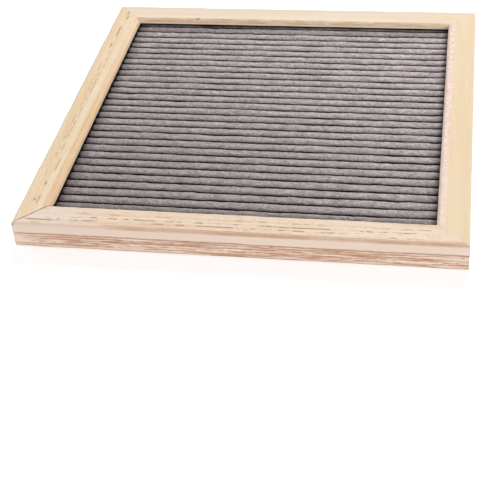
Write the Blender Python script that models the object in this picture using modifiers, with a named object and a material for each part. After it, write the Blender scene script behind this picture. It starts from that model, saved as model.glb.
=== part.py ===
"""A square felt letter board: a mitred softwood frame that holds a panel of felt tucked into long grooves.

The board lies on its back, felt up. X runs left to right along the grooves, Y runs up the board and Z points
out of the felt. The origin is the middle of the back. Lengths are in metres and angles in degrees.
"""

import math

import bmesh
import bpy
from mathutils import Matrix

# The frame: four rails of one moulding, with a rabbet behind the lip
BOARD_WIDTH = 0.254
BOARD_HEIGHT = 0.254
BOARD_THICKNESS = 0.0165
RAIL_WIDTH = 0.018
LIP_WIDTH = 0.006
LIP_DEPTH = 0.0038
INNER_ARRIS = 0.0022
OUTER_ARRIS = 0.001
BACK_ARRIS = 0.0006
MITRE_GAP = 0.0003

# Clearances: between pieces that touch, and round the panel in its rabbet
FIT_GAP = 0.0003
PANEL_PLAY = 0.001

# The felt sheet and the slotted core that it is tucked into
RIDGE_PITCH = 0.00735
GROOVE_WIDTH = 0.0005
GROOVE_DEPTH = 0.0042
CROWN_RISE = 0.0027
CROWN_FULLNESS = 2.2
FELT_THICKNESS = 0.001
CORE_BASE = 0.0017
BACKING_THICKNESS = 0.0025

# V-nails that pin each mitre from the back, at these distances in from the outer corner
V_NAIL_DISTANCES = (0.0042, 0.010)
V_NAIL_LEG = 0.0045
V_NAIL_HOOK = 0.0008
V_NAIL_HEIGHT = 0.007
V_NAIL_STEEL = 0.0005
V_NAIL_SINK = 0.0003

# Framer's points that hold the backing board in: two on each rail
POINT_SPACING = 0.110
POINT_WIDTH = 0.008
POINT_BITE = 0.006
POINT_REACH = 0.008
POINT_STEEL = 0.0005
POINT_CORNER = 0.001

# The sawtooth hanger on the backing board, and its two rivets
HANGER_LENGTH = 0.045
HANGER_HEIGHT = 0.008
HANGER_STEEL = 0.0006
HANGER_STANDOFF = 0.0009
HANGER_TAB = 0.0075
HANGER_SLOPE = 0.0015
HANGER_DROP = 0.012
HANGER_CORNER = 0.0015
TOOTH_PITCH = 0.0027
TOOTH_DEPTH = 0.0016
RIVET_INSET = 0.0035
RIVET_SHANK = 0.001
RIVET_HEAD = 0.002
RIVET_HEAD_HEIGHT = 0.0006
RIVET_FLANGE = 0.0018
RIVET_FLANGE_HEIGHT = 0.0004

# How finely the curves are cut
ARRIS_STEPS = 4
CROWN_STEPS = 8
FOLD_STEPS = 4
TURNED_STEPS = 16
CUTTER_MARGIN = 0.001

# Levels through the thickness, from the lip down to the hanger
LIP_UNDERSIDE = BOARD_THICKNESS - LIP_DEPTH
CROWN_TOP = LIP_UNDERSIDE - FIT_GAP
SPRING = CROWN_TOP - CROWN_RISE
GROOVE_FLOOR = CROWN_TOP - GROOVE_DEPTH
FOLD_UNDERSIDE = GROOVE_FLOOR - FELT_THICKNESS
SLOT_FLOOR = FOLD_UNDERSIDE - FIT_GAP
CORE_BACK = SLOT_FLOOR - CORE_BASE
BACKING_FRONT = CORE_BACK - FIT_GAP
BACKING_BACK = BACKING_FRONT - BACKING_THICKNESS
STEEL_FRONT = BACKING_BACK - FIT_GAP

# Places across the board
RABBET_WALL = RAIL_WIDTH - LIP_WIDTH
PANEL_WIDTH = BOARD_WIDTH - 2 * (RABBET_WALL + PANEL_PLAY)
PANEL_HEIGHT = BOARD_HEIGHT - 2 * (RABBET_WALL + PANEL_PLAY)
RIDGE_COUNT = int(PANEL_HEIGHT / RIDGE_PITCH)
RIDGE_HALF = (RIDGE_PITCH - GROOVE_WIDTH) / 2
RIDGE_CENTRES = [(i - (RIDGE_COUNT - 1) / 2) * RIDGE_PITCH for i in range(RIDGE_COUNT)]
HANGER_Y = BOARD_HEIGHT / 2 - RABBET_WALL - HANGER_DROP

# Turns a mesh drawn in XY and extruded along Z so that the extrusion runs along X, or along Y
ALONG_X = Matrix(((0, 0, 1, 0), (1, 0, 0, 0), (0, 1, 0, 0), (0, 0, 0, 1)))
ALONG_Y = Matrix(((1, 0, 0, 0), (0, 0, -1, 0), (0, 1, 0, 0), (0, 0, 0, 1)))

SMOOTH_ANGLE = math.radians(40)


def start_scene():
    """Empties the scene and returns a collection for the board and one for the cutters."""
    for old in list(bpy.data.objects):
        bpy.data.objects.remove(old)
    collections = []
    for name in ("felt_letter_board", "cutters"):
        collection = bpy.data.collections.new(name)
        bpy.context.scene.collection.children.link(collection)
        collections.append(collection)
    return collections


def material(name, colour, roughness, metallic=0.0):
    made = bpy.data.materials.new(name)
    made.use_nodes = True
    shader = made.node_tree.nodes["Principled BSDF"]
    shader.inputs["Base Color"].default_value = (*colour, 1)
    shader.inputs["Roughness"].default_value = roughness
    shader.inputs["Metallic"].default_value = metallic
    return made


BOARD, CUTTERS = start_scene()
PINE = material("pine", (0.85, 0.66, 0.45), 0.6)
FELT = material("grey_felt", (0.32, 0.275, 0.28), 0.95)
CORE = material("core_plastic", (0.10, 0.10, 0.11), 0.6)
HARDBOARD = material("hardboard", (0.24, 0.13, 0.06), 0.8)
ZINC = material("zinc_plated_steel", (0.62, 0.62, 0.60), 0.35, 1.0)


def arc(centre, radius, start, end, steps=ARRIS_STEPS):
    """Points along a circular arc, both ends included."""
    angles = [math.radians(start + (end - start) * i / steps) for i in range(steps + 1)]
    return [(centre[0] + radius * math.cos(a), centre[1] + radius * math.sin(a)) for a in angles]


def crown(centre, half_width, rise, base, steps=CROWN_STEPS):
    """Points over a ridge from its right foot to its left: half an ellipse with fuller shoulders."""
    points = []
    for i in range(steps + 1):
        angle = math.pi * i / steps
        across = math.copysign(abs(math.cos(angle)) ** (2 / CROWN_FULLNESS), math.cos(angle))
        points.append((centre + half_width * across, base + rise * math.sin(angle) ** (2 / CROWN_FULLNESS)))
    return points


def as_mesh(obj):
    """Puts a mesh object in place of a curve object, with its caps welded to its sides."""
    name = obj.name
    bpy.context.scene.collection.objects.link(obj)
    graph = bpy.context.evaluated_depsgraph_get()
    mesh = bpy.data.meshes.new_from_object(obj.evaluated_get(graph), depsgraph=graph)
    bpy.data.objects.remove(obj)
    bm = bmesh.new()
    bm.from_mesh(mesh)
    bmesh.ops.remove_doubles(bm, verts=bm.verts, dist=1e-6)
    bmesh.ops.recalc_face_normals(bm, faces=bm.faces)
    bm.to_mesh(mesh)
    bm.free()
    return bpy.data.objects.new(name, mesh)


def prism(name, outline, length, turn=None):
    """A solid with one flat outline, its length centred on the outline's plane."""
    curve = bpy.data.curves.new(name, "CURVE")
    curve.dimensions = "2D"
    curve.fill_mode = "BOTH"
    curve.extrude = length / 2
    spline = curve.splines.new("POLY")
    spline.points.add(len(outline) - 1)
    for point, (x, y) in zip(spline.points, outline):
        point.co = (x, y, 0, 1)
    spline.use_cyclic_u = True
    obj = as_mesh(bpy.data.objects.new(name, curve))
    if turn:
        obj.data.transform(turn)
    return obj


def box(name, size):
    """A plain board or sheet, centred on its origin."""
    bm = bmesh.new()
    bmesh.ops.create_cube(bm, size=1, matrix=Matrix.Diagonal((*size, 1)))
    mesh = bpy.data.meshes.new(name)
    bm.to_mesh(mesh)
    bm.free()
    return bpy.data.objects.new(name, mesh)


def strip(name, path, width, thickness, turn=None):
    """A bent metal strip: an open path swept to a width, then given its thickness on both sides."""
    bm = bmesh.new()
    points = [bm.verts.new((x, y, -width / 2)) for x, y in path]
    edges = [bm.edges.new(pair) for pair in zip(points, points[1:])]
    swept = bmesh.ops.extrude_edge_only(bm, edges=edges)["geom"]
    top = [item for item in swept if isinstance(item, bmesh.types.BMVert)]
    bmesh.ops.translate(bm, verts=top, vec=(0, 0, width))
    mesh = bpy.data.meshes.new(name)
    bm.to_mesh(mesh)
    bm.free()
    if turn:
        mesh.transform(turn)
    obj = bpy.data.objects.new(name, mesh)
    shell = obj.modifiers.new("thickness", "SOLIDIFY")
    shell.thickness = thickness
    shell.offset = 0
    shell.use_even_offset = True
    return obj


def turned(name, profile):
    """A turned shape. The profile is (radius, height) points down the outer side, from axis to axis."""
    bm = bmesh.new()
    points = [bm.verts.new((radius, 0, height)) for radius, height in profile]
    for pair in zip(points, points[1:]):
        bm.edges.new(pair)
    mesh = bpy.data.meshes.new(name)
    bm.to_mesh(mesh)
    bm.free()
    obj = bpy.data.objects.new(name, mesh)
    screw = obj.modifiers.new("turn", "SCREW")
    screw.steps = screw.render_steps = TURNED_STEPS
    screw.use_merge_vertices = True
    screw.merge_threshold = 1e-6
    return obj


def place(obj, finish, parent=None, location=(0, 0, 0), turn_z=0.0):
    """Adds a finished piece to the board."""
    BOARD.objects.link(obj)
    obj.data.materials.append(finish)
    obj.parent = parent
    obj.location = location
    obj.rotation_euler = (0, 0, turn_z)
    if obj.data.polygons:
        obj.data.shade_smooth()
        obj.data.set_sharp_from_angle(angle=SMOOTH_ANGLE)
    return obj


def cutter(obj, parent=None, location=(0, 0, 0), turn_z=0.0):
    """Keeps a solid as a cutter, which is no part of the board."""
    CUTTERS.objects.link(obj)
    obj.hide_render = True
    obj.display_type = "WIRE"
    obj.parent = parent
    obj.location = location
    obj.rotation_euler = (0, 0, turn_z)
    return obj


def cut(piece, tool, operation="DIFFERENCE"):
    boolean = piece.modifiers.new(tool.name, "BOOLEAN")
    boolean.operation = operation
    boolean.object = tool


def guide(name, location, turn_z):
    """An empty that carries the pieces of one side or one corner."""
    empty = bpy.data.objects.new(name, None)
    BOARD.objects.link(empty)
    empty.location = location
    empty.rotation_euler = (0, 0, turn_z)
    return empty


def rail_profile():
    """The moulding's section: distance in from the outer side, and height above the back."""
    return [
        *arc((BACK_ARRIS, BACK_ARRIS), BACK_ARRIS, 180, 270, 2),
        *arc((RABBET_WALL - BACK_ARRIS, BACK_ARRIS), BACK_ARRIS, 270, 360, 2),
        (RABBET_WALL, LIP_UNDERSIDE),
        (RAIL_WIDTH, LIP_UNDERSIDE),
        *arc((RAIL_WIDTH - INNER_ARRIS, BOARD_THICKNESS - INNER_ARRIS), INNER_ARRIS, 0, 90, 6),
        *arc((OUTER_ARRIS, BOARD_THICKNESS - OUTER_ARRIS), OUTER_ARRIS, 90, 180),
    ]


def saw_mitres(mesh, length):
    """Saws both ends of a rail at 45 degrees, half the mitre gap short of the corner's diagonal."""
    inset = MITRE_GAP / math.sqrt(2)
    bm = bmesh.new()
    bm.from_mesh(mesh)
    for end in (-1, 1):
        sawn = bmesh.ops.bisect_plane(
            bm,
            geom=[*bm.verts, *bm.edges, *bm.faces],
            plane_co=(end * (length / 2 - inset), 0, 0),
            plane_no=(end, 1, 0),
            clear_outer=True,
        )
        rim = [item for item in sawn["geom_cut"] if isinstance(item, bmesh.types.BMEdge)]
        bmesh.ops.holes_fill(bm, edges=rim)
    bmesh.ops.recalc_face_normals(bm, faces=bm.faces)
    bm.to_mesh(mesh)
    bm.free()


def point_outline(gap=0.0):
    """A framer's point from above: a blunt arrow that bites towards -Y and reaches over the panel at +Y."""
    half = POINT_WIDTH / 2 + gap
    shoulder = -POINT_BITE / 3 - gap
    reach = POINT_REACH + gap
    return [
        (half, shoulder),
        *arc((half - POINT_CORNER, reach - POINT_CORNER), POINT_CORNER, 0, 90, 3),
        *arc((POINT_CORNER - half, reach - POINT_CORNER), POINT_CORNER, 90, 180, 3),
        (-half, shoulder),
        (-half / 3, -POINT_BITE - gap),
        (half / 3, -POINT_BITE - gap),
    ]


def side(name, location, turn_z, length):
    """One side of the frame: its rail, and the two framer's points driven into its rabbet wall."""
    carrier = guide(f"{name}_side", location, turn_z)
    rail = prism(f"{name}_rail", rail_profile(), length, ALONG_X)
    saw_mitres(rail.data, length)
    place(rail, PINE, carrier)
    for number, where in enumerate((-POINT_SPACING / 2, POINT_SPACING / 2), 1):
        seat = (where, RABBET_WALL, STEEL_FRONT - POINT_STEEL / 2)
        point = prism(f"{name}_framers_point_{number}", point_outline(), POINT_STEEL)
        place(point, ZINC, carrier, seat)
        slot = prism(f"{name}_point_slot_{number}", point_outline(FIT_GAP), POINT_STEEL + 2 * FIT_GAP)
        cut(rail, cutter(slot, carrier, seat))
    return rail


def v_nail_path(gap=0.0):
    """A V-nail from above: its apex at the origin, its legs along the two rails, its ends hooked inwards."""
    reach = V_NAIL_LEG / math.sqrt(2)
    hook = reach + V_NAIL_HOOK + gap
    return [(-reach, hook), (-reach, reach), (0, 0), (reach, reach), (reach, hook)]


def corner(name, x_side, y_side, rails):
    """The V-nails of one corner, and their slots in the two rails that meet there."""
    outer_corner = (x_side * BOARD_WIDTH / 2, y_side * BOARD_HEIGHT / 2, 0)
    inward = math.atan2(-y_side, -x_side) - math.pi / 2
    carrier = guide(f"{name}_corner", outer_corner, inward)
    for number, distance in enumerate(V_NAIL_DISTANCES, 1):
        nail = strip(f"{name}_v_nail_{number}", v_nail_path(), V_NAIL_HEIGHT, V_NAIL_STEEL)
        place(nail, ZINC, carrier, (0, distance, V_NAIL_SINK + V_NAIL_HEIGHT / 2))
        top = V_NAIL_SINK + V_NAIL_HEIGHT + FIT_GAP
        slot_height = top + CUTTER_MARGIN
        slot_width = V_NAIL_STEEL + 2 * FIT_GAP
        slot = strip(f"{name}_nail_slot_{number}", v_nail_path(FIT_GAP), slot_height, slot_width)
        cutter(slot, carrier, (0, distance, top - slot_height / 2))
        for rail in rails:
            cut(rail, slot)


def felt_outline():
    """The felt's section across the grooves: height over Y, with the outer face first."""
    wall = RIDGE_HALF - FELT_THICKNESS
    fold = FELT_THICKNESS + GROOVE_WIDTH / 2
    outer = []
    for y in reversed(RIDGE_CENTRES):
        foot = GROOVE_FLOOR if y < RIDGE_CENTRES[-1] else FOLD_UNDERSIDE
        outer += [(y + RIDGE_HALF, foot), *crown(y, RIDGE_HALF, CROWN_RISE, SPRING)]
        foot = GROOVE_FLOOR if y > RIDGE_CENTRES[0] else FOLD_UNDERSIDE
        outer.append((y - RIDGE_HALF, foot))
    inner = [(RIDGE_CENTRES[0] - wall, FOLD_UNDERSIDE)]
    for y in RIDGE_CENTRES:
        inner += reversed(crown(y, wall, CROWN_RISE - FELT_THICKNESS, SPRING))
        if y < RIDGE_CENTRES[-1]:
            inner += arc((y + RIDGE_PITCH / 2, FOLD_UNDERSIDE + fold), fold, 180, 360, FOLD_STEPS)
    inner.append((RIDGE_CENTRES[-1] + wall, FOLD_UNDERSIDE))
    return to_edges(outer + inner)


def to_edges(outline):
    """Widens the outer halves of the first and last ridges, so that they end at the panel's edges."""
    last = RIDGE_CENTRES[-1]
    widening = (PANEL_HEIGHT / 2 - last) / RIDGE_HALF
    widened = []
    for y, z in outline:
        beyond = max(abs(y) - last, 0)
        widened.append((y + math.copysign(beyond * (widening - 1), y), z))
    return widened


def core_outline():
    """The core's section across its slots: a flat base with one rib under each ridge of felt."""
    rib = RIDGE_HALF - FELT_THICKNESS - FIT_GAP
    rise = CROWN_RISE - FELT_THICKNESS - FIT_GAP
    low = RIDGE_CENTRES[0] - RIDGE_HALF
    high = RIDGE_CENTRES[-1] + RIDGE_HALF
    outline = [(low, CORE_BACK), (high, CORE_BACK), (high, SLOT_FLOOR)]
    for y in reversed(RIDGE_CENTRES):
        outline += [(y + rib, SLOT_FLOOR), *crown(y, rib, rise, SPRING), (y - rib, SLOT_FLOOR)]
    return to_edges([*outline, (low, SLOT_FLOOR)])


def panel():
    """The tucked felt, the slotted core under it and the board that backs them."""
    place(prism("felt_sheet", felt_outline(), PANEL_WIDTH, ALONG_X), FELT)
    place(prism("slotted_core", core_outline(), PANEL_WIDTH, ALONG_X), CORE)
    backing = box("backing_board", (PANEL_WIDTH, PANEL_HEIGHT, BACKING_THICKNESS))
    return place(backing, HARDBOARD, None, (0, 0, BACKING_BACK + BACKING_THICKNESS / 2))


def hanger_outline():
    """The hanger from above: rounded ends, and a row of teeth along its lower edge between the end tabs."""
    half, low, high = HANGER_LENGTH / 2, -HANGER_HEIGHT / 2, HANGER_HEIGHT / 2
    toothed = half - HANGER_TAB
    teeth = int(2 * toothed / TOOTH_PITCH)
    row = []
    for i in range(teeth):
        left = (i - teeth / 2) * TOOTH_PITCH
        row += [(left, low), (left + TOOTH_PITCH / 2, low + TOOTH_DEPTH)]
    row.append((teeth / 2 * TOOTH_PITCH, low))
    radius = HANGER_CORNER
    return [
        *arc((radius - half, low + radius), radius, 180, 270, 3),
        *row,
        *arc((half - radius, low + radius), radius, 270, 360, 3),
        *arc((half - radius, high - radius), radius, 0, 90, 3),
        *arc((radius - half, high - radius), radius, 90, 180, 3),
    ]


def hanger_path():
    """The hanger edge on: end tabs flat on the board, and the toothed middle stood off it."""
    half = HANGER_LENGTH / 2
    bend = half - HANGER_TAB
    crest = bend - HANGER_SLOPE
    level = STEEL_FRONT - HANGER_STEEL / 2
    raised = level - HANGER_STANDOFF
    end = half + CUTTER_MARGIN
    return [(-end, level), (-bend, level), (-crest, raised), (crest, raised), (bend, level), (end, level)]


def rivet_profile():
    """A rivet from its clinched flange, inside the backing board, down to its domed head at the back."""
    flange_low = rivet_seat() + FIT_GAP
    flange_high = flange_low + RIVET_FLANGE_HEIGHT
    head_top = STEEL_FRONT - HANGER_STEEL - FIT_GAP
    dome = [
        (RIVET_HEAD * math.cos(a), head_top - RIVET_HEAD_HEIGHT * math.sin(a))
        for a in (math.radians(angle) for angle in (0, 30, 60))
    ]
    return [
        (0, flange_high),
        (RIVET_FLANGE, flange_high),
        (RIVET_FLANGE, flange_low),
        (RIVET_SHANK, flange_low),
        (RIVET_SHANK, head_top),
        *dome,
        (0, head_top - RIVET_HEAD_HEIGHT),
    ]


def rivet_seat():
    """How deep the counterbore for the rivet's flange goes into the front of the backing board."""
    return BACKING_FRONT - RIVET_FLANGE_HEIGHT - 2 * FIT_GAP


def rivet_hole_profile():
    """The stepped hole that each rivet passes through, in the hanger and the backing board."""
    high = BACKING_FRONT + FIT_GAP / 2
    low = STEEL_FRONT - HANGER_STEEL - CUTTER_MARGIN
    bore = RIVET_SHANK + FIT_GAP
    flange_bore = RIVET_FLANGE + FIT_GAP
    return [(0, high), (flange_bore, high), (flange_bore, rivet_seat()), (bore, rivet_seat()), (bore, low), (0, low)]


def hanger(backing):
    """The sawtooth hanger, riveted to the back of the backing board near its top edge."""
    plate = strip("sawtooth_hanger", hanger_path(), HANGER_HEIGHT + CUTTER_MARGIN, HANGER_STEEL, ALONG_Y)
    place(plate, ZINC, None, (0, HANGER_Y, 0))
    blank = prism("hanger_blank", hanger_outline(), 2 * BOARD_THICKNESS)
    cut(plate, cutter(blank, None, (0, HANGER_Y, 0)), "INTERSECT")
    for name, x_side in (("left", -1), ("right", 1)):
        where = (x_side * (HANGER_LENGTH / 2 - RIVET_INSET), HANGER_Y, 0)
        place(turned(f"hanger_rivet_{name}", rivet_profile()), ZINC, None, where)
        hole = cutter(turned(f"rivet_hole_{name}", rivet_hole_profile()), None, where)
        cut(plate, hole)
        cut(backing, hole)


def build():
    rails = {
        "bottom": side("bottom", (0, -BOARD_HEIGHT / 2, 0), 0, BOARD_WIDTH),
        "right": side("right", (BOARD_WIDTH / 2, 0, 0), math.pi / 2, BOARD_HEIGHT),
        "top": side("top", (0, BOARD_HEIGHT / 2, 0), math.pi, BOARD_WIDTH),
        "left": side("left", (-BOARD_WIDTH / 2, 0, 0), -math.pi / 2, BOARD_HEIGHT),
    }
    for upright, y_side in (("bottom", -1), ("top", 1)):
        for across, x_side in (("left", -1), ("right", 1)):
            corner(f"{upright}_{across}", x_side, y_side, (rails[upright], rails[across]))
    hanger(panel())


build()
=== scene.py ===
"""The looks of the felt letter board: pale softwood rails, a grey felt panel, and the hardware on its back.

X runs along the grooves, Y up the board and Z out of the felt, and the origin is the middle of the back.
Sizes are in millimetres, and a mesh is scaled to metres as it is made.
"""

import math

import bmesh
import bpy
import numpy as np
from mathutils import Matrix, Vector


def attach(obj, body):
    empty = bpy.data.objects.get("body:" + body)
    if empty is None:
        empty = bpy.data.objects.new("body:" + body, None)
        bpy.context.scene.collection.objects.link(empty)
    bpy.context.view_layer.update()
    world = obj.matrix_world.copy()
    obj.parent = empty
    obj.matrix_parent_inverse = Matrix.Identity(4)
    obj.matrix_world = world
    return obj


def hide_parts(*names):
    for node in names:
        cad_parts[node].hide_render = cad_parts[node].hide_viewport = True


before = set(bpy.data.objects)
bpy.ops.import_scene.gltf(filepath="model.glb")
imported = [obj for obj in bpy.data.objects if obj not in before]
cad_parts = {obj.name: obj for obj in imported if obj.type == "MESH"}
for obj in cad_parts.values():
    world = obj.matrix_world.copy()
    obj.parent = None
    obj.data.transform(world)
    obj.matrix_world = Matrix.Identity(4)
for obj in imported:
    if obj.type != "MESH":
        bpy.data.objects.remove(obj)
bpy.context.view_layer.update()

MM = 0.001

# The frame's moulding
BOARD = 254.0
RAIL_WIDTH = 18.0
THICKNESS = 16.5
RABBET_WALL = 12.0
LIP_UNDERSIDE = 12.7
INNER_ARRIS = 2.2
OUTER_ARRIS = 1.0
SMALL_ARRIS = 0.3
BACK_ARRIS = 0.6

# The felt and its grooves
PANEL = 228.0
RIDGES = 31
PITCH = 7.35
GROOVE = 0.5
CROWN_TOP = 12.4
CROWN_RISE = 2.7
FULLNESS = 2.2
GROOVE_FLOOR = 8.2
FELT = 1.0

# The hardware that is sunk into the rails
FIT = 0.3
NAIL_DISTANCES = (4.2, 10.0)
NAIL_LEG = 4.5
NAIL_HOOK = 0.8
NAIL_TOP = 7.3
NAIL_STEEL = 0.5
POINT_SPACING = 110.0
POINT_WIDTH = 8.0
POINT_BITE = 6.0
POINT_STEEL = 0.5
POINT_BACK = 1.6
SLOT_MOUTH = 2
CUTTER_START = -1

# Worked out from these: half of the board, opening, panel and ridge, and the height where a crown begins
HALF_BOARD = BOARD / 2
HALF_OPENING = HALF_BOARD - RAIL_WIDTH
HALF_PANEL = PANEL / 2
HALF_RIDGE = (PITCH - GROOVE) / 2
SPRING = CROWN_TOP - CROWN_RISE

# The rails' sanding and worn edges: their depths, how far they may stand out of the moulding's section,
# the lengths of their bumps along and across, and the band near the edges where the wear is
SANDING = 0.035
EDGE_WEAR = 0.05
EDGE_UNEVENNESS = 0.06
SANDING_LIMIT = 0.06
SANDING_BUMPS = (24, 5)
EDGE_BUMPS = (7, 4)
WORN_BAND = 1.6
WORN_DEPTH = 2.6
FLAT_BACK = 0.05
RAIL_SEED = 40

# A chip beside a mitre: its reach along the rail, its height, and its fall as a share of its depth
CHIP_REACH = 0.5
CHIP_HEIGHT = 1.2
CHIP_FALL = 0.8

# The rails' mesh: steps on arcs and sides, and rows of points from each end inwards
ARC_STEP = 0.3
SIDE_STEP = 0.66
END_ROWS = (0, 0.35, 0.7, 1.1, 1.6, 2.3, 3.2)
MIDDLE_START = 4.2
MIDDLE_ROWS = 216

# The felt's mesh, the turn of its folds, and how far its ridges swell, rise, wander and pucker
FELT_ROWS = 170
CROWN_STEPS = 13
FLANK_DROP = 0.4
FOLD_TURN = math.radians(60)
SWELL = 0.025
LIFT = 0.12
WEAVES = (0.11, 0.06)
LUMPS = (0.055, 0.03)
LIP_CLEARANCE = 0.06

# The felt's loose fibres. A column is the mean distance between the felt's points across the grooves
FIBRES = 15000
FIBRE_LENGTHS = (1.2, 3.6)
FIBRE_BEND = 0.5
FIBRE_LIFTS = (0.03, 0.24)
FIBRE_RADII = (0.03, 0.055)
FIBRE_SIDES = 3
FIBRE_SEED = 77
COLUMN = 0.62

# Tones that more than one finish has
BROWN = (0.33, 0.17, 0.09)
MITRE_BROWN = (0.22, 0.11, 0.05)
# The near-black of the felt's painted shade, in its grooves and against the frame's walls
FELT_PAINTED_SHADOW = (0.012, 0.0062, 0.0045)

# Beyond any rail's ends, for marks that run on to them
PAST_END = 140

# How far one step of a noise's seed moves it along each axis
SEED_STEP = (3.7, 9.1, 5.3)

# The floor, in metres. What is seen of it is lifted towards white, least near the board and most far away
FLOOR_SIZE = 6
FLOOR_DROP = 0.0002
FLOOR_TONE = (0.86, 0.86, 0.86, 1)
FLOOR_NEAR_AND_FAR = (0.3, 1.2)
FLOOR_SEEN = (0.40, 1.0)

# The white that is seen of the world, and the white light that the floor and the world give to the board
WORLD_SEEN = 1.0
WORLD_FILL = 0.36
FLOOR_FILL = 0.1

# The lamps, which all face the board: name, watts, place in metres, width in metres and colour
LAMPS = (
    ("key", 52, (0.25, 2.30, 2.05), 1.0, (1, 0.985, 0.96)),
    ("front", 52, (1.7, -2.1, 1.1), 2.0, (1, 1, 1)),
    ("left", 5, (-1.6, 0.6, 0.9), 1.2, (1, 1, 1)),
)

# The camera: its focal length and image width in pixels, its place in metres, its aim and its upward side
FOCAL_LENGTH = 1138.6
IMAGE_WIDTH = 496
SENSOR_WIDTH = 36
CAMERA_PLACE = (0.1121, -0.5952, 0.4049)
CAMERA_AIM = (-0.1676, 0.7554, -0.6335)
CAMERA_UPWARD = (-0.0519, 0.6350, 0.7709)


def waves(seed, size_x, size_y, count=28):
    """A smooth random field over two coordinates, with a spread of about 1 and bumps of about those sizes."""
    rng = np.random.default_rng(seed)
    along = rng.normal(0, math.pi / size_x, count)
    across = rng.normal(0, math.pi / size_y, count)
    phase = rng.uniform(0, 2 * math.pi, count)

    def field(x, y):
        total = np.zeros(np.broadcast(x, y).shape)
        for a, b, c in zip(along, across, phase):
            total += np.cos(a * x + b * y + c)
        return total * math.sqrt(2 / count)

    return field


def new_object(name, points, faces):
    """An object from points in millimetres, with its faces turned outwards."""
    mesh = bpy.data.meshes.new(name)
    mesh.from_pydata((np.asarray(points) * MM).tolist(), [], faces)
    mesh.validate()
    bm = bmesh.new()
    bm.from_mesh(mesh)
    bmesh.ops.recalc_face_normals(bm, faces=bm.faces)
    bm.to_mesh(mesh)
    bm.free()
    obj = bpy.data.objects.new(name, mesh)
    bpy.context.scene.collection.objects.link(obj)
    return obj


def smooth(obj, degrees=40):
    """Smooth shading, with the edges that turn by more than that kept sharp."""
    obj.data.shade_smooth()
    obj.data.set_sharp_from_angle(angle=math.radians(degrees))
    return obj


def grid_faces(rows, columns, start=0, closed=False):
    """Quads between the points of a grid that is stored row by row."""
    faces = []
    for i in range(rows - 1):
        for j in range(columns if closed else columns - 1):
            k = (j + 1) % columns
            faces.append(
                (
                    start + i * columns + j,
                    start + i * columns + k,
                    start + (i + 1) * columns + k,
                    start + (i + 1) * columns + j,
                )
            )
    return faces


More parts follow.
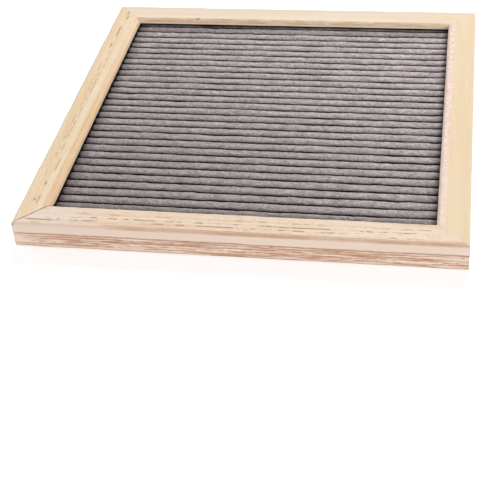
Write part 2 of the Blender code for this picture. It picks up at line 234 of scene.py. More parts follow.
class Graph:
    """A node material, with short calls for the nodes that it is made of."""

    def __init__(self, name, **settings):
        self.material = bpy.data.materials.new(name)
        self.material.use_nodes = True
        self.nodes = self.material.node_tree.nodes
        self.links = self.material.node_tree.links
        self.shader = self.nodes["Principled BSDF"]
        for key, value in settings.items():
            self.shader.inputs[key.replace("_", " ")].default_value = value
        coordinates = self.nodes.new("ShaderNodeTexCoord").outputs["Object"]
        self.place = self.mapped(coordinates, (1 / MM,) * 3)
        split = self.nodes.new("ShaderNodeSeparateXYZ")
        self.links.new(self.place, split.inputs[0])
        self.x, self.y, self.z = split.outputs

    def put(self, socket, value):
        """Links a node's output to a socket, or gives the socket a value."""
        if isinstance(value, bpy.types.NodeSocket):
            self.links.new(value, socket)
        elif socket.type == "RGBA" and len(value) == 3:
            socket.default_value = (*value, 1)
        else:
            socket.default_value = value

    def mapped(self, vector, scale, turn=(0, 0, 0), move=(0, 0, 0)):
        """A vector scaled, turned and moved."""
        node = self.nodes.new("ShaderNodeMapping")
        self.put(node.inputs["Vector"], vector)
        node.inputs["Scale"].default_value = scale
        node.inputs["Rotation"].default_value = turn
        node.inputs["Location"].default_value = move
        return node.outputs[0]

    def noise(self, size, seed=0.0, detail=2.0, rough=0.5, distortion=0.0, turn=0.0):
        """Noise whose features have that size in millimetres along each axis, turned about Z."""
        vector = self.place
        if turn:
            vector = self.mapped(vector, (1, 1, 1), turn=(0, 0, math.radians(turn)))
        scale = tuple(1 / length for length in size)
        vector = self.mapped(vector, scale, move=tuple(seed * step for step in SEED_STEP))
        node = self.nodes.new("ShaderNodeTexNoise")
        self.put(node.inputs["Vector"], vector)
        node.inputs["Scale"].default_value = 1
        node.inputs["Detail"].default_value = detail
        node.inputs["Roughness"].default_value = rough
        node.inputs["Distortion"].default_value = distortion
        return node.outputs["Fac"]

    def math(self, operation, *values):
        """The result of one arithmetic node."""
        node = self.nodes.new("ShaderNodeMath")
        node.operation = operation
        for socket, value in zip(node.inputs, values):
            self.put(socket, value)
        return node.outputs[0]

    def times(self, *values):
        total = values[0]
        for value in values[1:]:
            total = self.math("MULTIPLY", total, value)
        return total

    def plus(self, *values):
        total = values[0]
        for value in values[1:]:
            total = self.math("ADD", total, value)
        return total

    def step(self, value, low, high, to=(0.0, 1.0)):
        """A smooth step of value from low to high."""
        node = self.nodes.new("ShaderNodeMapRange")
        node.interpolation_type = "SMOOTHSTEP"
        for socket, number in zip(node.inputs, (value, low, high, *to)):
            self.put(socket, number)
        return node.outputs[0]

    def span(self, value, low, high, soft):
        """1 between low and high, with soft ends."""
        rise = self.step(value, low - soft, low + soft)
        fall = self.step(value, high - soft, high + soft, (1, 0))
        return self.times(rise, fall)

    def line(self, value, centre, width):
        """1 on a line where value is centre, and 0 at width from it."""
        away = self.math("ABSOLUTE", self.math("SUBTRACT", value, centre))
        return self.step(away, 0.0, width, (1, 0))

    def mix(self, factor, a, b, blend="MIX"):
        """Colour a where the factor is 0, and b where it is 1."""
        node = self.nodes.new("ShaderNodeMix")
        node.data_type = "RGBA"
        node.blend_type = blend
        self.put(node.inputs[0], factor)
        self.put(node.inputs[6], a)
        self.put(node.inputs[7], b)
        return node.outputs[2]

    def scaled(self, colour, factor):
        """A colour times a number."""
        node = self.nodes.new("ShaderNodeVectorMath")
        node.operation = "SCALE"
        self.put(node.inputs[0], colour)
        self.put(node.inputs["Scale"], factor)
        return node.outputs[0]

    def bump(self, height, depth, strength):
        """Fine relief from a height, depth millimetres deep."""
        node = self.nodes.new("ShaderNodeBump")
        node.inputs["Strength"].default_value = strength
        node.inputs["Distance"].default_value = depth * MM
        self.put(node.inputs["Height"], height)
        self.put(self.shader.inputs["Normal"], node.outputs[0])

    def colour(self, value):
        self.put(self.shader.inputs["Base Color"], value)

    def roughness(self, value):
        self.put(self.shader.inputs["Roughness"], value)


class Timber(Graph):
    """Sanded softwood with its grain along the rail's own X.

    Y runs in from the rail's outer side, and Z is the height. on_face and on_side are 1 on the face and on
    the outer side.
    """

    def __init__(self, name, base, pale, streak, seed, streak_strength):
        super().__init__(name, Specular_IOR_Level=0.3)
        self.seed = seed
        self.on_face = self.step(self.z, THICKNESS - 1.5, THICKNESS - 0.8)
        self.on_side = self.step(self.y, 1.4, 0.4)
        broad = self.noise((85, 6, 6), seed)
        rings = self.noise((130, 2.0, 2.4), seed + 1, detail=3, rough=0.6, distortion=0.5)
        lines = self.noise((30, 0.8, 0.8), seed + 5, rough=0.6, distortion=0.4)
        self.fibres = self.noise((7, 0.22, 0.22), seed + 2, detail=3, rough=0.6)
        self.tone = self.mix(self.step(broad, 0.36, 0.64), base, pale)
        self.paint(self.times(self.step(rings, 0.48, 0.68), streak_strength), streak)
        self.paint(self.times(self.step(lines, 0.54, 0.72), streak_strength * 0.7), streak)
        self.paint(self.times(self.step(lines, 0.46, 0.30), 0.4), pale)
        blotches = self.noise((4.5, 1.5, 1.5), seed + 6, rough=0.7)
        self.paint(self.times(self.step(blotches, 0.52, 0.68), streak_strength * 0.8), streak)
        self.paint(self.times(self.step(blotches, 0.46, 0.32), streak_strength * 1.2), pale)
        self.height = self.plus(self.times(self.fibres, 0.6), self.times(rings, 0.5))

    def paint(self, shade, colour):
        """Lays a colour over the tone so far, as strongly as shade says."""
        self.tone = self.mix(shade, self.tone, colour)

    def stripe(self, low, high, colour, strength, soft=0.8, uneven=0.4):
        """A soft band of another tone along the whole rail, between two distances in from its outer side."""
        drift = self.math("SUBTRACT", self.noise((45, 60, 60), self.seed + low), 0.5)
        drift = self.times(drift, 2.0)
        shade = self.span(self.math("SUBTRACT", self.y, drift), low, high, soft)
        patches = self.step(self.noise((26, 3, 3), self.seed + low + 0.7), 0.35, 0.6, (1 - uneven, 1))
        self.paint(self.times(shade, patches, strength), colour)

    def flecks(self, low, high, strength, colour, length, width):
        """Short dark pores and dashes along the grain, between two distances in from the outer side."""
        dashes = self.step(self.noise((length, width, 0.5), self.seed + 3, detail=1), 0.63, 0.74)
        groups = self.step(self.noise((28, 2.4, 2.4), self.seed + 4, detail=1), 0.44, 0.58)
        where = self.times(self.span(self.y, low, high, 1.0), self.on_face)
        shade = self.times(dashes, groups, where, strength)
        self.paint(shade, colour)
        self.height = self.plus(self.height, self.times(shade, -1.2))

    def mark(
        self, at, width, start, end, strength, colour=BROWN, side=False, wobble=0.4, broken=0.0, soft=4.0
    ):
        """A grain line or a spot from start to end along the rail, with soft ends.

        at is its place across the rail, or its height on the outer side, and broken is the share of its
        strength that comes and goes along it.
        """
        value, where = (self.z, self.on_side) if side else (self.y, self.on_face)
        drift = self.math("SUBTRACT", self.noise((20, 60, 60), self.seed + at), 0.5)
        shade = self.line(self.math("SUBTRACT", value, self.times(drift, 2 * wobble)), at, width)
        shade = self.times(shade, self.span(self.x, start, end, soft), where, strength)
        if broken:
            gaps = self.step(self.noise((5.5, 9, 9), self.seed + at + 0.5, detail=1), 0.47, 0.58)
            shade = self.times(shade, self.plus(1 - broken, self.times(gaps, broken)))
        self.paint(shade, colour)
        self.height = self.plus(self.height, self.times(shade, -0.5))

    def arris(self, colour, strength, painted_wall_light):
        """The uneven tone of the rounded inner edge, and painted light on the wall below it."""
        inner = self.step(self.y, RAIL_WIDTH - 2.8, RAIL_WIDTH - 1.4)
        patches = self.step(self.noise((11, 2.5, 1.3), self.seed + 8, rough=0.6), 0.36, 0.60, (0.2, 1))
        self.paint(self.times(inner, patches, strength), colour)
        # Painted light: the wall's lower part is painted paler, as if lit
        below = self.step(self.z, THICKNESS - 2.0, THICKNESS - 2.8)
        self.paint(self.times(inner, below, 0.9), painted_wall_light)

    def mitre(self, end, strength, width=0.6):
        """The darkened edge and cut face of the mitre at one end, faint towards the outer corner."""
        along = self.math("MULTIPLY", self.x, end)
        away = self.math("SUBTRACT", HALF_BOARD, self.plus(along, self.y))
        edge = self.step(away, 0.0, width, (1, 0))
        fade = self.step(self.y, 0.5, 5.0, (0.35, 1))
        self.paint(self.times(edge, fade, strength), MITRE_BROWN)

    def finish(self):
        """Gives the material its tone, roughness and relief."""
        self.colour(self.mix(self.times(self.fibres, 0.12), self.tone, (0.5, 0.32, 0.18), "MULTIPLY"))
        self.roughness(self.plus(0.50, self.times(self.fibres, 0.22)))
        self.bump(self.height, 0.05, 0.55)
        return self.material


def left_timber():
    """Yellow, with orange-brown dashes, small dark knots near its lower end and a tan inner edge."""
    tan, orange, dash, knot = (0.76, 0.50, 0.28), (0.52, 0.27, 0.10), (0.55, 0.32, 0.15), (0.24, 0.16, 0.07)
    g = Timber("pine_left", (0.855, 0.66, 0.44), (0.90, 0.75, 0.55), tan, seed=2.0, streak_strength=0.42)
    g.stripe(9.6, 14.6, (0.90, 0.775, 0.60), 0.75)
    g.stripe(-1.0, 1.4, (0.72, 0.64, 0.50), 0.6, soft=0.6)
    inner = g.times(g.span(g.y, 13.6, 17.8, 0.8), g.step(g.x, -70, 30, (0.15, 0.9)))
    patches = g.step(g.noise((18, 2.0, 2.0), seed=9.0), 0.3, 0.6, (0.5, 1))
    g.paint(g.times(inner, patches), tan)
    g.flecks(2.0, 11.0, 0.55, (0.50, 0.32, 0.15), length=4.0, width=0.8)
    mottles = g.step(g.noise((3.6, 1.1, 1.1), seed=10.0, rough=0.6), 0.52, 0.64)
    mottles = g.times(mottles, g.span(g.y, 1.0, 15.0, 1.0))
    g.paint(g.times(mottles, 0.45), (0.80, 0.58, 0.33))
    g.mark(17.0, 1.0, -112, -107.5, 0.7, (0.45, 0.24, 0.11), wobble=0.1, soft=0.8)
    # Dashes near its upper end and knots near its lower one, each with its start, end and place across
    for start, end, at in ((-119, -114, 7.8), (-112.5, -107.5, 8.7), (-97, -83, 7.2), (-74, -68, 6.6)):
        g.mark(at, 1.1, start, end, 0.9, orange, soft=1.8)
    g.mark(8.6, 0.9, -60, 60, 0.6, dash, wobble=0.9, broken=0.9)
    g.mark(6.4, 0.9, -50, 90, 0.5, dash, wobble=0.9, broken=0.9)
    g.mark(10.6, 0.8, 64, 76, 0.6, (0.34, 0.25, 0.14), soft=2.0)
    for start, end, at in ((87.5, 90.5, 9.1), (100.5, 108.5, 9.4), (103.5, 106, 6.9)):
        g.mark(at, 1.0, start, end, 0.85, knot, wobble=0.6, broken=0.4, soft=0.9)
    g.arris((0.82, 0.55, 0.33), 0.45, painted_wall_light=(1.0, 0.82, 0.62))
    g.mitre(1, 1.0, width=0.9)
    return g.finish()


def top_timber():
    """Pale peach, greyish outside and yellower at its right end, with an uneven orange-brown inner edge."""
    base, pale, streak = (0.84, 0.69, 0.53), (0.865, 0.735, 0.58), (0.79, 0.60, 0.43)
    g = Timber("pine_top", base, pale, streak, seed=12.0, streak_strength=0.2)
    g.stripe(-1.0, 4.2, (0.76, 0.68, 0.585), 0.75, soft=1.0, uneven=0.2)
    g.stripe(13.0, 15.2, (0.92, 0.81, 0.65), 0.55, soft=0.6, uneven=0.5)
    g.arris((0.66, 0.35, 0.18), 0.62, painted_wall_light=(1.0, 0.84, 0.62))
    g.mark(16.4, 1.1, 65.2, 68.2, 0.8, (0.22, 0.10, 0.05), wobble=0.1, soft=0.8)
    g.mark(16.4, 0.9, 40, 62, 0.45, (0.36, 0.18, 0.09), wobble=0.3, broken=0.6)
    g.paint(g.step(g.x, -78, -118, (0, 0.75)), (0.865, 0.70, 0.48))
    g.mitre(1, 0.2)
    return g.finish()


def right_timber():
    """Soft yellow with peach streaks, a pinkish speckled band and a painted highlight on its inner edge."""
    base, pale, streak = (0.85, 0.665, 0.44), (0.87, 0.70, 0.485), (0.83, 0.61, 0.39)
    # A painted highlight on the rounded inner edge and the wall below it
    painted_highlight = (1.0, 0.86, 0.79)
    g = Timber("pine_right", base, pale, streak, seed=22.0, streak_strength=0.24)
    g.stripe(-1.0, 2.2, (0.83, 0.66, 0.50), 0.55, uneven=0.3)
    g.stripe(13.6, 18.6, (0.92, 0.725, 0.63), 0.9, soft=0.7, uneven=0.2)
    g.arris(painted_highlight, 0.9, painted_wall_light=painted_highlight)
    band = g.times(g.span(g.y, 13.4, 17.6, 0.6), g.step(g.x, -100, 50, (0.45, 1)))
    specks = g.noise((1.7, 1.0, 1.0), seed=27.0, detail=1)
    g.paint(g.times(band, g.step(specks, 0.52, 0.62), 0.6), (0.74, 0.47, 0.38))
    g.paint(g.times(band, g.step(specks, 0.44, 0.36), 0.6), (1.0, 0.90, 0.84))
    return g.finish()


def bottom_timber():
    """Tan with rows of brown dashes, a pinkish left end, a brown outer edge, a red-streaked side and painted
    shade along the side's foot.
    """
    base, pale, streak = (0.865, 0.685, 0.515), (0.905, 0.745, 0.59), (0.70, 0.47, 0.30)
    side_streak_and_shade = (0.36, 0.15, 0.08)
    g = Timber("pine_bottom", base, pale, streak, seed=32.0, streak_strength=0.42)
    g.mark(9.0, 12.0, -150, -84, 0.8, (0.875, 0.735, 0.66), wobble=0.0, soft=18.0)
    g.flecks(2.5, 16.5, 0.75, (0.42, 0.20, 0.11), length=5.5, width=0.7)
    g.mark(8.0, 0.9, -88, 100, 0.8, wobble=0.6, broken=0.9)
    g.mark(11.4, 0.8, -92, 110, 0.5, wobble=0.7, broken=0.9)
    g.mark(5.2, 0.9, -105, 60, 0.8, wobble=0.5, broken=0.85)
    g.mark(4.4, 0.9, -119, -104, 0.9, (0.34, 0.17, 0.10), wobble=0.2, soft=1.5)
    g.mark(1.6, 0.8, -116, -111, 0.5, (0.4, 0.24, 0.16), wobble=0.1, soft=1.5)
    blush = g.step(g.z, 9.6, 8.6)
    g.paint(g.times(g.on_side, 0.8), (0.80, 0.665, 0.57))
    g.paint(g.times(g.on_side, blush, 0.7), (0.90, 0.73, 0.60))
    rings = g.step(g.noise((26, 3, 0.85), seed=38.0, rough=0.6, distortion=0.9), 0.48, 0.56)
    rings = g.times(rings, g.step(g.x, -125, -85, (0.55, 1)))
    g.paint(g.times(rings, g.on_side, g.plus(0.04, g.times(blush, 0.85))), (0.56, 0.31, 0.20))
    # Streaks on the side, each with its height, width, start, strength and how broken it is
    for at, width, start, strength, broken in (
        (9.4, 0.9, -127, 0.9, 0.2),
        (7.8, 0.7, -127, 0.7, 0.6),
        (6.0, 0.8, -121, 0.8, 0.6),
        (4.2, 0.7, -118, 0.7, 0.7),
        (2.6, 0.7, -122, 0.7, 0.7),
        # The lowest streak is painted shade along the side's foot, by the floor
        (0.6, 0.7, -127, 0.7, 0.2),
    ):
        g.mark(at, width, start, PAST_END, strength, side_streak_and_shade, side=True, wobble=0.8, broken=broken)
    edge = g.step(g.math("ADD", g.y, g.math("SUBTRACT", THICKNESS, g.z)), 2.0, 0.9)
    reach = g.step(g.x, -80, -50, (0.25, 1))
    reach = g.times(reach, g.step(g.noise((16, 8, 8), seed=39.0), 0.3, 0.6, (0.6, 1)))
    g.paint(g.times(edge, reach, 0.7), (0.53, 0.28, 0.16))
    g.mark(1.9, 0.5, -76, PAST_END, 0.7, (0.36, 0.17, 0.09), wobble=0.25, broken=0.2)
    corner = (0.24, 0.16, 0.12)
    g.mark(THICKNESS - 1.2, 1.4, -128, -125.6, 0.8, corner, side=True, wobble=0.0, soft=0.8)
    g.arris((0.80, 0.60, 0.42), 0.3, painted_wall_light=(0.88, 0.71, 0.55))
    g.mitre(-1, 1.0, width=0.9)
    return g.finish()


def felt_shade(g):
    """Painted shade on the felt: 0, near black, in its grooves and by the frame's walls, and 1 on the open
    crowns.
    """
    from_left = g.math("ADD", g.x, HALF_OPENING)
    from_right = g.math("SUBTRACT", HALF_OPENING, g.x)
    from_top = g.math("SUBTRACT", HALF_OPENING, g.y)
    from_bottom = g.math("ADD", g.y, HALF_OPENING)
    top_shade = g.step(g.x, -100, 20, (0.34, 0.44))
    return g.times(
        g.step(g.z, CROWN_TOP - 1.6, CROWN_TOP - 0.6),
        g.step(from_left, 0.2, 2.6),
        g.step(from_left, -3.0, 11.0, (0.2, 1.0)),
        g.step(from_right, -0.8, 4.8, (0.2, 1.0)),
        g.step(from_top, 0.1, 1.5),
        g.step(from_top, 2.0, 13.0, (top_shade, 1.0)),
        g.step(from_bottom, 4.5, 9.5, (0.7, 1.0)),
    )


def felt_material():
    """Dense grey felt: matted tufts that lie aslant, painted shade down each ridge's near side and by the
    frame, and painted light that grows to the right and upwards.
    """
    g = Graph("grey_felt", Roughness=0.95, Specular_IOR_Level=0.12, Sheen_Roughness=0.6)
    g.shader.inputs["Sheen Tint"].default_value = (0.9, 0.86, 0.86, 1)
    mottle = g.noise((14, 8, 8), seed=3, detail=3, rough=0.6)
    colour = g.mix(g.step(mottle, 0.35, 0.68), (0.325, 0.28, 0.284), (0.39, 0.343, 0.345))
    height = g.times(mottle, 0.3)
    for number, (turn, length) in enumerate(((24, 4.6), (-20, 4.0), (58, 3.2), (8, 6.0))):
        tufts = g.noise((length, 0.95, 0.95), 11 + number, rough=0.65, distortion=0.8, turn=turn)
        colour = g.mix(g.times(g.step(tufts, 0.54, 0.68), 0.45), colour, (0.66, 0.60, 0.60))
        colour = g.mix(g.times(g.step(tufts, 0.46, 0.33), 0.45), colour, (0.13, 0.105, 0.11))
        height = g.plus(height, g.times(tufts, 0.8))
    for number, turn in enumerate((12, 71, 128)):
        fibres = g.noise((4.2, 0.3, 0.6), 21 + number, rough=0.6, distortion=0.8, turn=turn)
        strand = g.step(fibres, 0.6, 0.72)
        tone = (0.58, 0.53, 0.53) if number % 2 else (0.17, 0.14, 0.145)
        colour = g.mix(g.times(strand, 0.5), colour, tone)
        height = g.plus(height, g.times(strand, 0.4))
    # Painted shade down each ridge's near side, and painted light that grows towards the right and the top
    across = g.math("FRACT", g.plus(g.times(g.y, 1 / PITCH), 0.5))
    flank = g.step(across, 0.0, 0.42, (0.68, 1.06))
    to_right = g.step(g.x, -HALF_OPENING, HALF_OPENING, (0.915, 1.145))
    upwards = g.step(g.y, -HALF_OPENING, HALF_OPENING, (-0.16, 0.13))
    painted_light_sweep = g.plus(to_right, upwards)
    felt_with_painted_light = g.scaled(colour, g.times(flank, painted_light_sweep, 1.17))
    shade = felt_shade(g)
    g.colour(g.mix(shade, FELT_PAINTED_SHADOW, felt_with_painted_light))
    g.put(g.shader.inputs["Sheen Weight"], g.times(shade, 0.35))
    g.bump(height, 0.22, 0.8)
    return g.material


def nap_material():
    """Loose fibres on the felt, from pale to dark, with the felt's painted shade in its grooves and by the
    frame.
    """
    g = Graph("felt_fibres", Roughness=0.9, Specular_IOR_Level=0.15)
    tone = g.noise((1.1, 1.1, 1.1), seed=31, detail=1)
    colour = g.mix(g.step(tone, 0.36, 0.62), (0.20, 0.165, 0.17), (0.68, 0.62, 0.62))
    g.colour(g.mix(felt_shade(g), FELT_PAINTED_SHADOW, colour))
    return g.material


def plastic_material():
    """The core's dark extruded plastic, with faint flow lines along it."""
    g = Graph("core_plastic", Specular_IOR_Level=0.4)
    flow = g.noise((60, 0.8, 0.8), seed=2)
    g.colour(g.mix(flow, (0.075, 0.075, 0.08), (0.12, 0.12, 0.125)))
    g.roughness(g.plus(0.45, g.times(flow, 0.2)))
    g.bump(flow, 0.03, 0.4)
    return g.material


def hardboard_material():
    """Brown hardboard: pressed fibres and darker flecks, a little uneven in tone."""
    g = Graph("hardboard", Specular_IOR_Level=0.25)
    cloud = g.noise((38, 38, 38), seed=1, detail=3)
    fibres = g.noise((2.4, 0.5, 0.5), seed=4, detail=3, rough=0.65, distortion=1.2, turn=25)
    crossed = g.noise((2.4, 0.5, 0.5), seed=6, detail=3, rough=0.65, distortion=1.2, turn=-50)
    flecks = g.step(g.noise((0.9, 0.6, 0.6), seed=8), 0.64, 0.74)
    colour = g.mix(g.step(cloud, 0.35, 0.7), (0.235, 0.125, 0.058), (0.30, 0.168, 0.083))
    colour = g.mix(g.times(g.step(fibres, 0.5, 0.7), 0.5), colour, (0.40, 0.25, 0.135))
    colour = g.mix(g.times(g.step(crossed, 0.52, 0.7), 0.4), colour, (0.17, 0.085, 0.038))
    g.colour(g.mix(g.times(flecks, 0.6), colour, (0.09, 0.045, 0.02)))
    g.roughness(g.plus(0.62, g.times(fibres, 0.25)))
    g.bump(g.plus(fibres, crossed), 0.06, 0.5)
    return g.material


def zinc_material():
    """Bright zinc plating with a faint spangle and fine scratches."""
    g = Graph("zinc_plated_steel", Metallic=1.0)
    spangle = g.noise((2.6, 2.6, 2.6), seed=3, detail=1)
    scratches = g.noise((5, 0.08, 0.08), seed=7, distortion=0.2, turn=33)
    scratches = g.step(scratches, 0.6, 0.7)
    colour = g.mix(g.step(spangle, 0.38, 0.62), (0.56, 0.57, 0.57), (0.70, 0.70, 0.69))
    g.colour(g.mix(g.times(scratches, 0.4), colour, (0.42, 0.42, 0.43)))
    g.roughness(g.plus(0.26, g.times(spangle, 0.16), g.times(scratches, 0.12)))
    g.bump(g.plus(spangle, g.times(scratches, -0.5)), 0.03, 0.3)
    return g.material


def rounded(corners, fine, coarse):
    """Points round a closed outline of (x, y, radius) corners.

    Its arcs have steps of about the length fine, and its sides have steps of about the length coarse.
    """
    arcs = []
    for i, (x, y, radius) in enumerate(corners):
        corner = np.array((x, y))
        before = np.array(corners[i - 1][:2]) - corner
        after = np.array(corners[(i + 1) % len(corners)][:2]) - corner
        before, after = before / np.linalg.norm(before), after / np.linalg.norm(after)
        if radius == 0:
            arcs.append([corner])
            continue
        centre = corner + (before + after) * radius
        steps = max(3, round(radius * math.pi / 2 / fine))
        arcs.append(
            [
                centre - radius * (before * math.sin(a) + after * math.cos(a))
                for a in np.linspace(0, math.pi / 2, steps + 1)
            ]
        )
    points = []
    for i, arc in enumerate(arcs):
        points += arc
        end = arcs[(i + 1) % len(arcs)][0]
        length = np.linalg.norm(end - arc[-1])
        steps = max(1, round(length / coarse))
        points += [arc[-1] + (end - arc[-1]) * k / steps for k in range(1, steps)]
    return np.array(points)


def outward(outline):
    """The outward normal at each point of an outline that runs anticlockwise."""
    along = np.roll(outline, -1, 0) - np.roll(outline, 1, 0)
    normal = np.stack((along[:, 1], -along[:, 0]), 1)
    return normal / np.linalg.norm(normal, axis=1, keepdims=True)


def rail_section():
    """The moulding's outline across the rail, from the outer side inwards and round to the face."""
    corners = (
        (0, 0, BACK_ARRIS),
        (RABBET_WALL, 0, BACK_ARRIS),
        (RABBET_WALL, LIP_UNDERSIDE, 0),
        (RAIL_WIDTH, LIP_UNDERSIDE, SMALL_ARRIS),
        (RAIL_WIDTH, THICKNESS, INNER_ARRIS),
        (0, THICKNESS, OUTER_ARRIS),
    )
    return rounded(corners, ARC_STEP, SIDE_STEP)


def rail_wear(seed, along, inwards, height):
    """How far sanding and use leave a point outside the moulding's section, or inside it where negative."""
    near_edge = np.clip(WORN_BAND - np.minimum(inwards, RAIL_WIDTH - inwards), 0, 1)
    near_edge = near_edge * np.clip((height - (THICKNESS - WORN_DEPTH)) / WORN_BAND, 0, 1)
    sanding = waves(seed, *SANDING_BUMPS)(along, inwards + height) * SANDING
    bumps = waves(seed + 1, *EDGE_BUMPS)(along, inwards)
    worn = bumps * EDGE_UNEVENNESS * near_edge - EDGE_WEAR * near_edge
    offset = np.minimum(sanding + worn, SANDING_LIMIT)
    return np.where(height < FLAT_BACK, 0, offset)


def rail(name, finish, seed, gaps, chip=None):
    """One rail in its own frame: X along it, Y in from its outer side, Z up.

    Its mitres stop short by the two gaps. A chip is given by the end that it is at, its place across the
    rail, its size and its depth.
    """
    section = rail_section()
    normals = outward(section)
    ends = np.array(END_ROWS)
    middle = np.linspace(MIDDLE_START, BOARD - MIDDLE_START, MIDDLE_ROWS)
    stations = np.concatenate((ends, middle, (BOARD - ends)[::-1])) / HALF_BOARD - 1
    along, inwards = np.meshgrid(stations, section[:, 0], indexing="ij")
    height = np.broadcast_to(section[:, 1], along.shape)
    offset = rail_wear(seed, along * HALF_BOARD, inwards, height)
    inwards = inwards + offset * normals[:, 0]
    height = height + offset * normals[:, 1]
    reach = HALF_BOARD - inwards
    short = np.where(along < 0, gaps[0], gaps[1])
    x = along * (reach - short)
    if chip:
        end, where, size, depth = chip
        from_end = HALF_BOARD * (1 - along * end)
        near = np.exp(-(((inwards - where) / size) ** 2)) * np.exp(-((from_end / CHIP_REACH) ** 2))
        near = near * (height > THICKNESS - CHIP_HEIGHT)
        x = x - end * near * depth
        height = height - near * depth * CHIP_FALL
    points = np.stack((x, inwards, height), -1).reshape(-1, 3)
    rows, columns = along.shape
    faces = grid_faces(rows, columns, closed=True)
    faces.append(tuple(range(columns)))
    faces.append(tuple((rows - 1) * columns + j for j in range(columns)))
    obj = new_object(name, points, faces)
    obj.data.materials.append(finish)
    return obj


def prism_cutter(outline, low, high):
    """A solid with that outline between two heights."""
    count = len(outline)
    points = [(x, y, z) for z in (low, high) for x, y in outline]
    faces = [(j, (j + 1) % count, count + (j + 1) % count, count + j) for j in range(count)]
    faces += [tuple(range(count)), tuple(range(count, 2 * count))]
    return points, faces


def point_slot():
    """The slot that a framer's point is driven into, in the point's own frame."""
    half = POINT_WIDTH / 2 + FIT
    shoulder = -POINT_BITE / 3 - FIT
    deep = -POINT_BITE - FIT
    right = [(half / 3, deep), (half, shoulder), (half, SLOT_MOUTH)]
    left = [(-x, y) for x, y in reversed(right)]
    return right[1:] + left + right[:1]


def nail_slot():
    """The slot that a V-nail is pressed into: its bent line, given a width."""
    reach = NAIL_LEG / math.sqrt(2)
    hook = reach + NAIL_HOOK + FIT
    half = NAIL_STEEL / 2 + FIT
    flat = half * math.sqrt(2)
    turn = half * math.tan(math.radians(22.5))
    right = [(0, -flat), (reach + half, reach - turn), (reach + half, hook), (reach - half, hook)]
    right += [(reach - half, reach + turn), (0, flat)]
    left = [(-x, y) for x, y in reversed(right[1:-1])]
    return right + left


def cut_slots(obj, cutters):
    """Cuts every slot of one rail at once. A cutter is (outline, low, high, matrix)."""
    points, faces = [], []
    for outline, low, high, matrix in cutters:
        some, sides = prism_cutter(outline, low, high)
        start = len(points)
        points += [tuple(matrix @ Vector(p)) for p in some]
        faces += [tuple(start + k for k in face) for face in sides]
    tool = new_object("slots", points, faces)
    boolean = obj.modifiers.new("slots", "BOOLEAN")
    boolean.object = tool
    boolean.operation = "DIFFERENCE"
    boolean.solver = "EXACT"
    graph = bpy.context.evaluated_depsgraph_get()
    mesh = bpy.data.meshes.new_from_object(obj.evaluated_get(graph), depsgraph=graph)
    obj.modifiers.clear()
    obj.data = mesh
    bpy.data.objects.remove(tool)
    return smooth(obj)


def rail_cutters():
    """The slots of one rail: two for the points in its rabbet, and two for V-nails at each mitre."""
    slot, bent = point_slot(), nail_slot()
    low, high = POINT_BACK - FIT, POINT_BACK + POINT_STEEL + FIT
    cutters = []
    for x in (-POINT_SPACING / 2, POINT_SPACING / 2):
        cutters.append((slot, low, high, Matrix.Translation((x, RABBET_WALL, 0))))
    for end in (-1, 1):
        turned = Matrix.Rotation(math.radians(45 * end), 4, "Z")
        corner = Matrix.Translation((end * HALF_BOARD, 0, 0)) @ turned
        for distance in NAIL_DISTANCES:
            place = corner @ Matrix.Translation((0, distance, 0))
            cutters.append((bent, CUTTER_START, NAIL_TOP + FIT, place))
    return cutters


def build_frame():
    """The four rails, each cut for its V-nails and points, then turned into place."""
    # Each rail's side, turn, timber, the gaps at its two mitres, and its chip
    rails = (
        ("bottom", 0, bottom_timber(), (0.21, 0.06), (-1, 8.9, 1.0, 0.3)),
        ("right", 90, right_timber(), (0.06, 0.03), None),
        ("top", 180, top_timber(), (0.03, 0.04), None),
        ("left", -90, left_timber(), (0.04, 0.21), (1, 8.5, 1.2, 0.35)),
    )
    to_side = Matrix.Translation((0, -HALF_BOARD * MM, 0))
    for number, (name, turn, finish, gaps, chip) in enumerate(rails):
        obj = rail(f"{name}_rail_timber", finish, RAIL_SEED + 7 * number, gaps, chip)
        cut_slots(obj, rail_cutters())
        obj.matrix_world = Matrix.Rotation(math.radians(turn), 4, "Z") @ to_side
        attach(obj, "root")
        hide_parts(f"{name}_rail")


def crown(steps):
    """A ridge's crown from its low side to its high side, as shares of its half width and of its rise."""
    angles = np.linspace(math.pi, 0, steps)
    across = np.sign(np.cos(angles)) * np.abs(np.cos(angles)) ** (2 / FULLNESS)
    return across, np.abs(np.sin(angles)) ** (2 / FULLNESS)


def to_edges(y):
    """Widens the outer halves of the first and last ridges, so that they end at the panel's edges."""
    last = (RIDGES - 1) / 2 * PITCH
    widening = (HALF_PANEL - last) / HALF_RIDGE
    return y + np.sign(y) * np.maximum(np.abs(y) - last, 0) * (widening - 1)


def ridge_section():
    """A ridge's outer and inner points across the groove: foot, flank, crown, flank and foot."""
    across, rise = crown(CROWN_STEPS)
    flank = SPRING - FLANK_DROP
    outer_y = np.concatenate(([-HALF_RIDGE, -HALF_RIDGE], across * HALF_RIDGE, [HALF_RIDGE, HALF_RIDGE]))
    outer_z = np.concatenate(([GROOVE_FLOOR, flank], SPRING + rise * CROWN_RISE, [flank, GROOVE_FLOOR]))
    half = HALF_RIDGE - FELT
    fold = FELT + GROOVE / 2
    turn = fold * (1 - math.cos(FOLD_TURN))
    fold_z = GROOVE_FLOOR - FELT + fold
    low_z = fold_z - fold * math.sin(FOLD_TURN)
    inner_y = np.concatenate(([-half - turn, -half], across * half, [half, half + turn]))
    inner_z = np.concatenate(([low_z, fold_z], SPRING + rise * (CROWN_RISE - FELT), [fold_z, low_z]))
    return outer_y, outer_z, inner_y, inner_z


